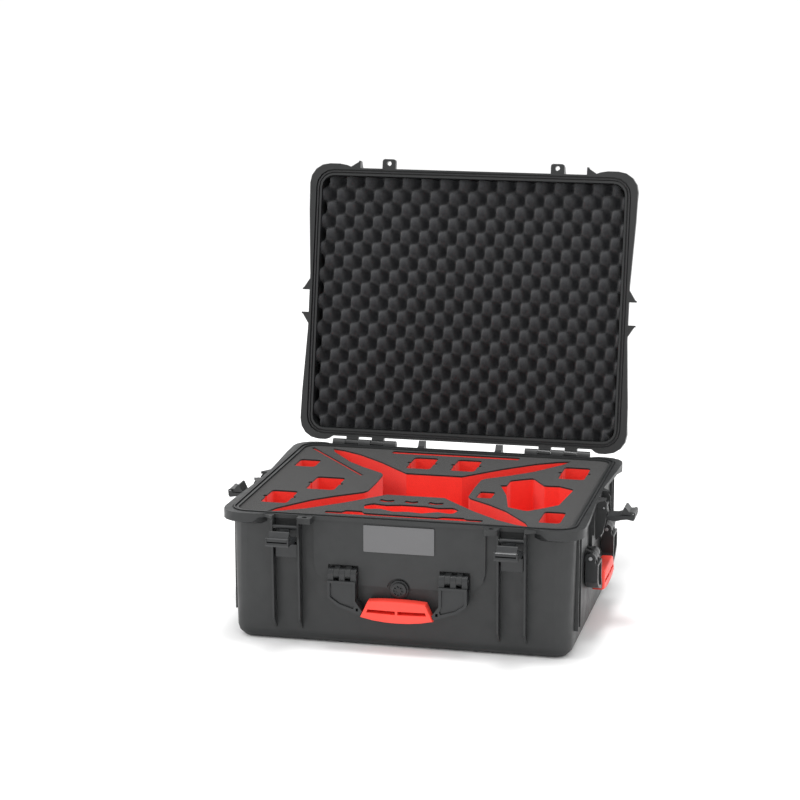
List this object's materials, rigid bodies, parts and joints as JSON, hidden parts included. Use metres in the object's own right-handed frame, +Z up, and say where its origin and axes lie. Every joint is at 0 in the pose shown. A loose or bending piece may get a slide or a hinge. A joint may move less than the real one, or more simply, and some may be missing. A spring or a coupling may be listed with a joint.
{
  "type": "drone carrying case",
  "caption": "Hard carrying case with a hinged lid, over-centre latches, folding handles and cut foam for a quadcopter and its kit.",
  "frame": {"origin": "middle of the base's underside", "axes": "+X to the user's right, +Y to the back where the hinges are, +Z up"},
  "size_m": [0.6454, 0.655, 0.6626],
  "materials": {
    "case_plastic": "fine satin moulding",
    "latch_plastic": "satin",
    "pin_steel": "drawn wire",
    "seal_rubber": "matt",
    "grip_coral": "satin",
    "name_plate": "satin, blank",
    "foam_charcoal": "fine closed-cell foam",
    "foam_red": "fine closed-cell foam",
    "foam_egg_crate": "open-cell foam"
  },
  "bodies": {
    "base": {"base_shell": "case_plastic", "foam_red_floor": "foam_red", "foam_red_front": "foam_red", "foam_red_back": "foam_red", "foam_red_left": "foam_red", "foam_red_right": "foam_red", "foam_top_sheet": "foam_charcoal", "label_plate": "name_plate", "valve_body": "latch_plastic", "valve_cap": "latch_plastic", "hinge_pin_left": "pin_steel", "hinge_pin_right": "pin_steel", "handle_front_pin_left": "pin_steel", "handle_front_pin_right": "pin_steel", "handle_side_pin_left": "pin_steel", "handle_side_pin_right": "pin_steel", "latch_front_left_lever_pin": "pin_steel", "latch_front_left_strike_pad": "latch_plastic", "latch_front_right_lever_pin": "pin_steel", "latch_front_right_strike_pad": "latch_plastic", "latch_side_left_lever_pin": "pin_steel", "latch_side_left_strike_pad": "latch_plastic", "latch_side_right_lever_pin": "pin_steel", "latch_side_right_strike_pad": "latch_plastic"},
    "lid": {"lid_shell": "case_plastic", "lid_gasket": "seal_rubber", "lid_foam": "foam_egg_crate"},
    "handle_front": {"handle_front_arm_left": "latch_plastic", "handle_front_arm_right": "latch_plastic", "handle_front_grip": "grip_coral"},
    "handle_side": {"handle_side_arm_left": "latch_plastic", "handle_side_arm_right": "latch_plastic", "handle_side_grip": "grip_coral"},
    "latch_front_left_lever": {"latch_front_left_lever": "latch_plastic", "latch_front_left_claw_pin": "pin_steel"},
    "latch_front_left_claw": {"latch_front_left_claw": "latch_plastic"},
    "latch_front_right_lever": {"latch_front_right_lever": "latch_plastic", "latch_front_right_claw_pin": "pin_steel"},
    "latch_front_right_claw": {"latch_front_right_claw": "latch_plastic"},
    "latch_side_left_lever": {"latch_side_left_lever": "latch_plastic", "latch_side_left_claw_pin": "pin_steel"},
    "latch_side_left_claw": {"latch_side_left_claw": "latch_plastic"},
    "latch_side_right_lever": {"latch_side_right_lever": "latch_plastic", "latch_side_right_claw_pin": "pin_steel"},
    "latch_side_right_claw": {"latch_side_right_claw": "latch_plastic"}
  },
  "joints": [
    {"name": "lid_hinge", "type": "hinge", "parent": "base", "child": "lid", "pos_m": [0, 0.2327, 0.2005], "axis": [1, 0, 0], "range_deg": [0, 101.2]},
    {"name": "handle_front_swing", "type": "hinge", "parent": "base", "child": "handle_front", "pos_m": [0, -0.22373, 0.1155], "axis": [-1, 0, 0], "range_deg": [0, 95]},
    {"name": "handle_side_swing", "type": "hinge", "parent": "base", "child": "handle_side", "pos_m": [0.26789, 0, 0.1263], "axis": [0, -1, 0], "range_deg": [0, 95]},
    {"name": "latch_front_left_throw", "type": "hinge", "parent": "base", "child": "latch_front_left_lever", "pos_m": [-0.1703, -0.2305, 0.183], "axis": [-1, 0, 0], "range_deg": [0, 115]},
    {"name": "latch_front_left_hook", "type": "hinge", "parent": "latch_front_left_lever", "child": "latch_front_left_claw", "pos_m": [-0.1703, -0.2751, 0.1751], "axis": [1, 0, 0], "range_deg": [0, 5]},
    {"name": "latch_front_right_throw", "type": "hinge", "parent": "base", "child": "latch_front_right_lever", "pos_m": [0.1703, -0.2305, 0.183], "axis": [-1, 0, 0], "range_deg": [0, 115]},
    {"name": "latch_front_right_hook", "type": "hinge", "parent": "latch_front_right_lever", "child": "latch_front_right_claw", "pos_m": [0.1703, -0.2751, 0.1751], "axis": [1, 0, 0], "range_deg": [0, 5]},
    {"name": "latch_side_left_throw", "type": "hinge", "parent": "base", "child": "latch_side_left_lever", "pos_m": [-0.275, 0, 0.183], "axis": [0, 1, 0], "range_deg": [0, 115]},
    {"name": "latch_side_left_hook", "type": "hinge", "parent": "latch_side_left_lever", "child": "latch_side_left_claw", "pos_m": [-0.3196, 0, 0.1751], "axis": [0, -1, 0], "range_deg": [0, 5]},
    {"name": "latch_side_right_throw", "type": "hinge", "parent": "base", "child": "latch_side_right_lever", "pos_m": [0.275, 0, 0.183], "axis": [0, -1, 0], "range_deg": [0, 115]},
    {"name": "latch_side_right_hook", "type": "hinge", "parent": "latch_side_right_lever", "child": "latch_side_right_claw", "pos_m": [0.3196, 0, 0.1751], "axis": [0, 1, 0], "range_deg": [0, 5]}
  ]
}
